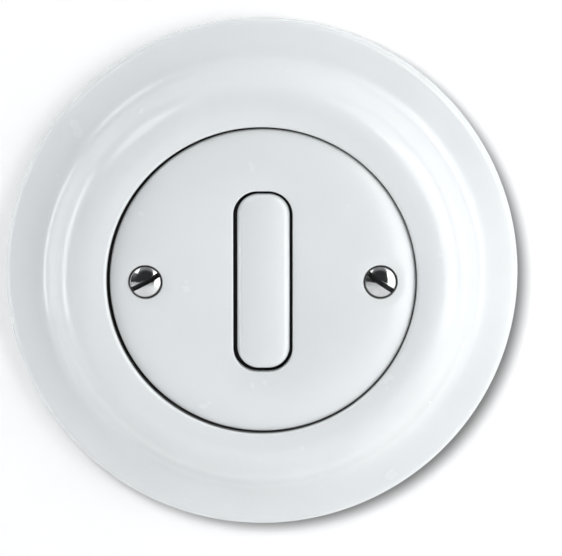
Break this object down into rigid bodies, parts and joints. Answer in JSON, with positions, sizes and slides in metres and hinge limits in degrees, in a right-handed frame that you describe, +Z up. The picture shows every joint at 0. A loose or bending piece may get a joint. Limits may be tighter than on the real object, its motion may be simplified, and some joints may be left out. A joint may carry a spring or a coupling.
{
  "type": "pushbutton switch insert",
  "caption": "Round porcelain pushbutton switch for a wall box: flared frame, dished centre plate, tall sprung key, screw terminals and spreading claws.",
  "frame": {"origin": "centre of the support ring's back face, on the wall plane, midway between the two box screw holes", "axes": "-Y out of the wall towards the user, +X to the user's right, +Z up the wall"},
  "size_m": [0.1, 0.0387, 0.1],
  "materials": {
    "frame_glaze": "glossy white glaze",
    "plate_glaze": "glossy white glaze",
    "key_glaze": "glossy white glaze",
    "screw_nickel": "polished nickel plate",
    "carrier_plastic": "moulded, matt",
    "cover_plastic": "moulded thermoset, matt",
    "base_ceramic": "unglazed steatite, matt",
    "zinc_steel": "zinc plated sheet",
    "claw_steel": "zinc plated sheet",
    "pin_steel": "drawn wire",
    "screw_steel": "zinc plated",
    "spring_steel": "spring wire",
    "contact_brass": "rolled strip",
    "terminal_brass": "turned and milled",
    "rivet_brass": "drawn tube",
    "tip_silver": "silver alloy, satin"
  },
  "bodies": {
    "insert": {"base_cover": "cover_plastic", "base_rivets": "rivet_brass", "centre_plate": "plate_glaze", "claw_pin_lower": "pin_steel", "claw_pin_upper": "pin_steel", "cover_frame": "frame_glaze", "fixed_contact_left": "contact_brass", "fixed_contact_right": "contact_brass", "fixed_tip_left": "tip_silver", "fixed_tip_right": "tip_silver", "insert_base": "base_ceramic", "plate_screw_left": "screw_nickel", "plate_screw_right": "screw_nickel", "return_spring_lower": "spring_steel", "return_spring_upper": "spring_steel", "support_ring": "zinc_steel", "terminal_cage_left": "terminal_brass", "terminal_cage_right": "terminal_brass", "terminal_screw_left": "screw_steel", "terminal_screw_right": "screw_steel", "thread_bush_left": "terminal_brass", "thread_bush_right": "terminal_brass"},
    "key": {"push_key": "key_glaze", "key_carrier": "carrier_plastic"},
    "bridge": {"contact_bridge": "contact_brass", "bridge_tip_left": "tip_silver", "bridge_tip_right": "tip_silver", "contact_spring": "spring_steel"},
    "claw_upper": {"claw_upper": "claw_steel"},
    "claw_lower": {"claw_lower": "claw_steel"},
    "claw_screw_upper": {"claw_screw_upper": "screw_steel"},
    "claw_screw_lower": {"claw_screw_lower": "screw_steel"}
  },
  "joints": [
    {"name": "key_press", "type": "slide", "parent": "insert", "child": "key", "axis": [0, 1, 0], "range_m": [0, 0.0025], "stiffness_N_per_m": 600, "springref_m": -0.003, "deforming": ["return_spring_upper", "return_spring_lower"]},
    {"name": "bridge_press", "type": "slide", "parent": "insert", "child": "bridge", "axis": [0, 1, 0], "range_m": [0, 0.002], "deforming": ["contact_spring"]},
    {"name": "claw_screw_turn_upper", "type": "hinge", "parent": "insert", "child": "claw_screw_upper", "pos_m": [0, 0, 0.0254], "axis": [0, 1, 0], "range_deg": [0, 972]},
    {"name": "claw_swing_upper", "type": "hinge", "parent": "insert", "child": "claw_upper", "pos_m": [0, 0.0034, 0.0226], "axis": [1, 0, 0], "range_deg": [0, 25]},
    {"name": "claw_screw_turn_lower", "type": "hinge", "parent": "insert", "child": "claw_screw_lower", "pos_m": [0, 0, -0.0254], "axis": [0, 1, 0], "range_deg": [0, 972]},
    {"name": "claw_swing_lower", "type": "hinge", "parent": "insert", "child": "claw_lower", "pos_m": [0, 0.0034, -0.0226], "axis": [-1, 0, 0], "range_deg": [0, 25]}
  ],
  "couplings": [
    {"joint": "bridge_press", "follows": "key_press", "ratio": 0.8},
    {"joint": "claw_swing_upper", "follows": "claw_screw_turn_upper", "ratio": 0.02572},
    {"joint": "claw_swing_lower", "follows": "claw_screw_turn_lower", "ratio": 0.02572}
  ]
}
